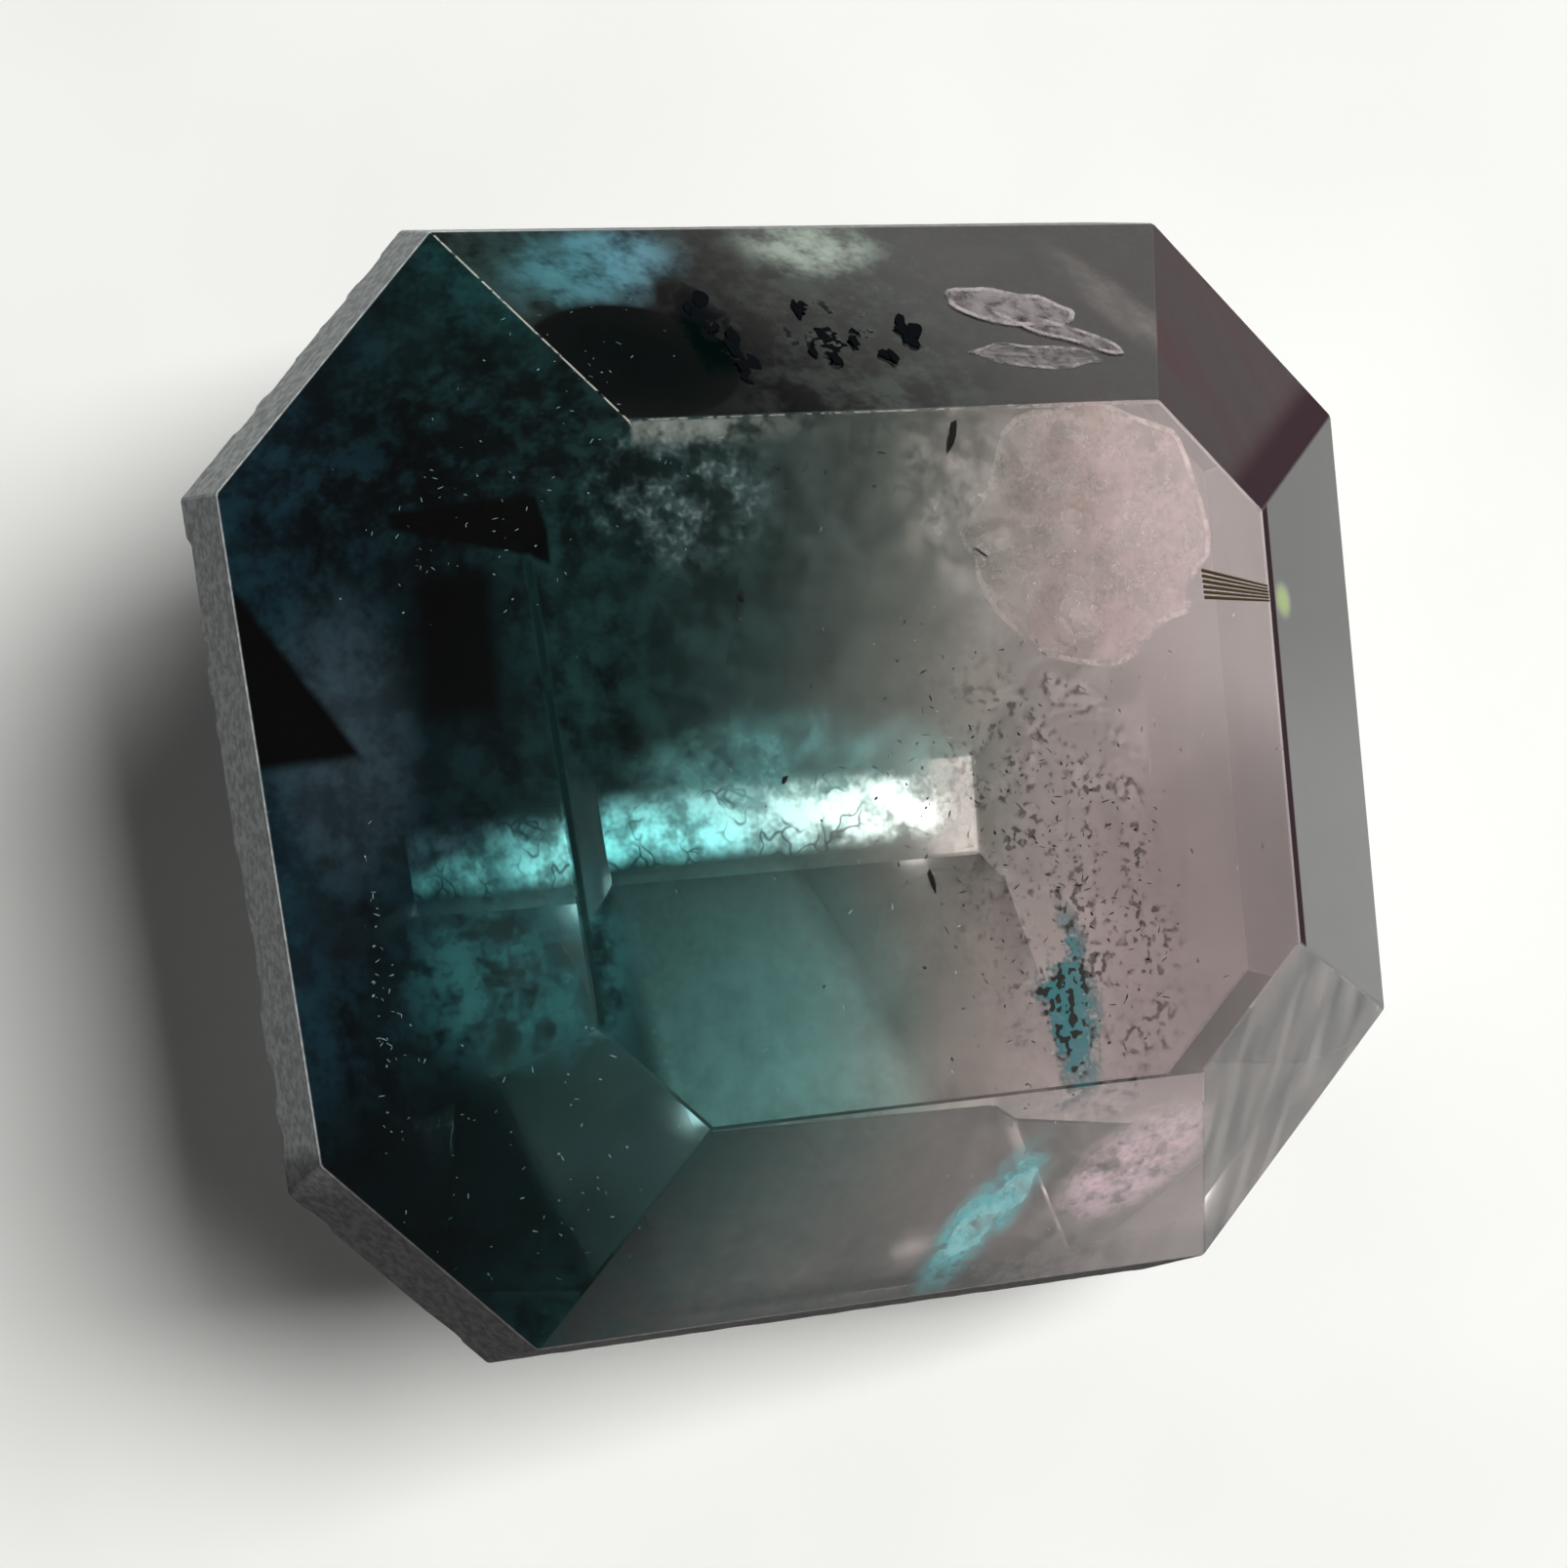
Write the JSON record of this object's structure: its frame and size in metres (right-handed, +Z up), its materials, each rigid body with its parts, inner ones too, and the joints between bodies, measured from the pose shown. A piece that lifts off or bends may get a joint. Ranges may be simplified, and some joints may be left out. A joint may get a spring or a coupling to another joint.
{
  "type": "cut tourmaline gemstone",
  "caption": "Loose bicolour tourmaline in an eight-sided step cut, teal to pink along its length, lying on a lower facet with its table tilted to one side.",
  "frame": {"origin": "centre of the bounding box, on the flat surface that the stone lies on", "axes": "+Z up with the stone lying on its lower facet at the pink end; the stone's length and colour change run along X, teal end at -X and raised, pink end at +X and low; the table faces up and towards +X; +Y across the stone"},
  "size_m": [0.0076, 0.0082, 0.007],
  "materials": {
    "tourmaline": "clear polished stone, IOR about 1.63, dark teal at the -X end through grey-green to pale mauve-pink at the +X end, included, with a ground grey girdle"
  },
  "bodies": {
    "root": {"tourmaline": "tourmaline"}
  },
  "joints": []
}
